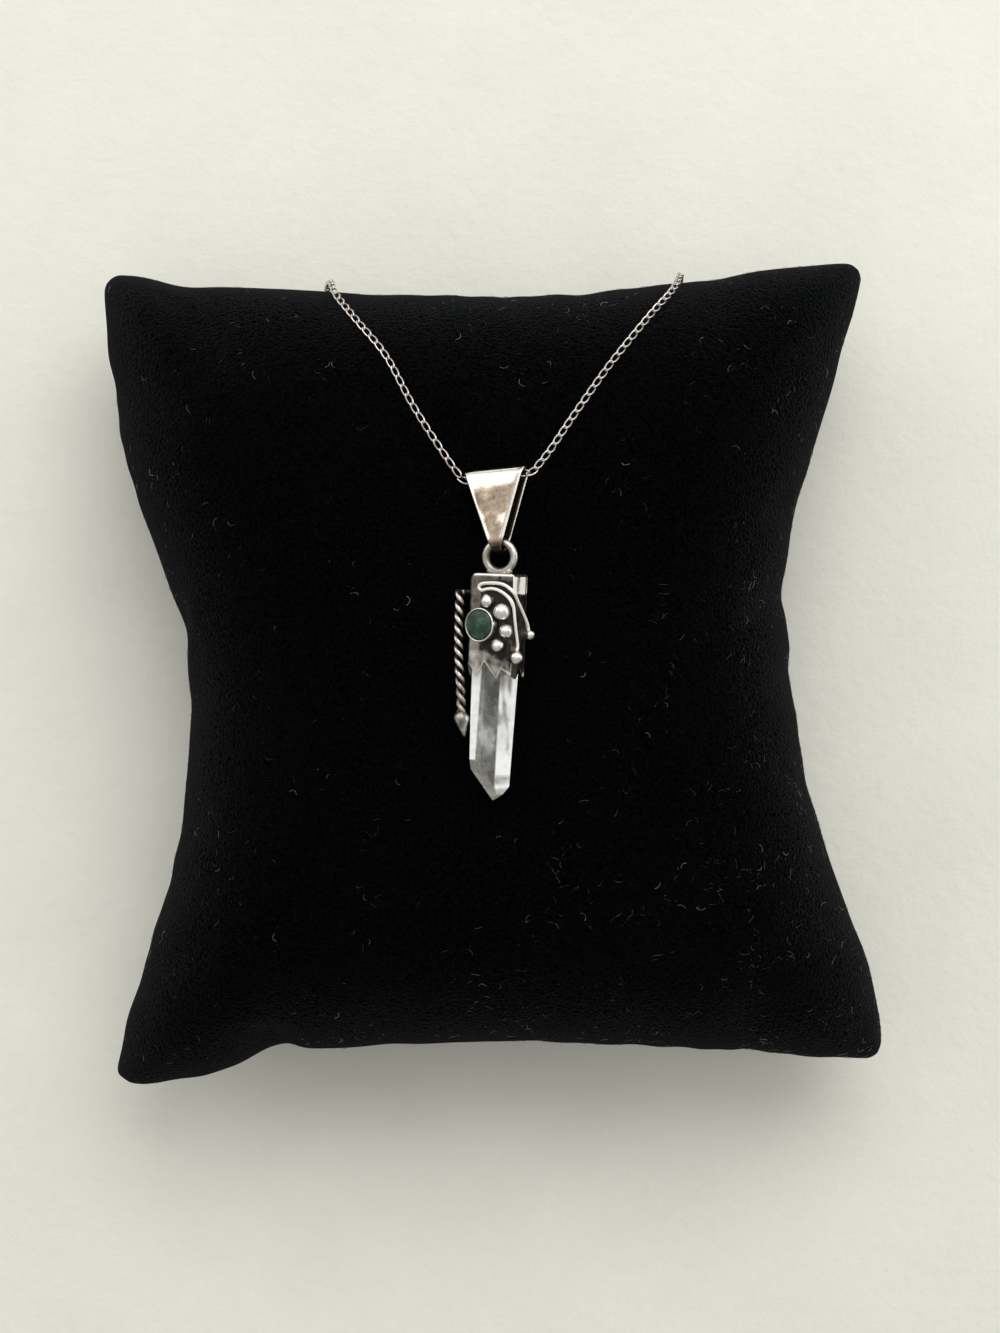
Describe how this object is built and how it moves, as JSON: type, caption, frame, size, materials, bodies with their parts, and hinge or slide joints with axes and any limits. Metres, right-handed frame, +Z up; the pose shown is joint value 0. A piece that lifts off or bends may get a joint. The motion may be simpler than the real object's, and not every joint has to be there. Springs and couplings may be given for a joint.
{
  "type": "crystal point pendant necklace on a velvet display pillow",
  "caption": "Clear crystal point in a toothed silver cap with a green stone, granules and twisted wire, on a fine curb chain, laid on a small black velvet display pillow.",
  "frame": {"origin": "on the surface, under the middle of the pillow's bounding box, with +Z up", "axes": "+X across the pillow to its right, +Y along the pillow to its top edge, where the chain goes over, +Z up away from the surface"},
  "size_m": [0.1266, 0.1332, 0.0512],
  "materials": {
    "black_velvet": "matte",
    "chain_silver": "polished",
    "bail_silver": "polished",
    "cap_silver": "satin",
    "clear_quartz": "polished",
    "green_stone": "polished"
  },
  "bodies": {
    "root": {"display_pillow": "black_velvet", "neck_chain": "chain_silver", "clasp": "chain_silver", "bail": "bail_silver", "cap_setting": "cap_silver", "crystal_point": "clear_quartz", "green_stone": "green_stone"}
  },
  "joints": []
}
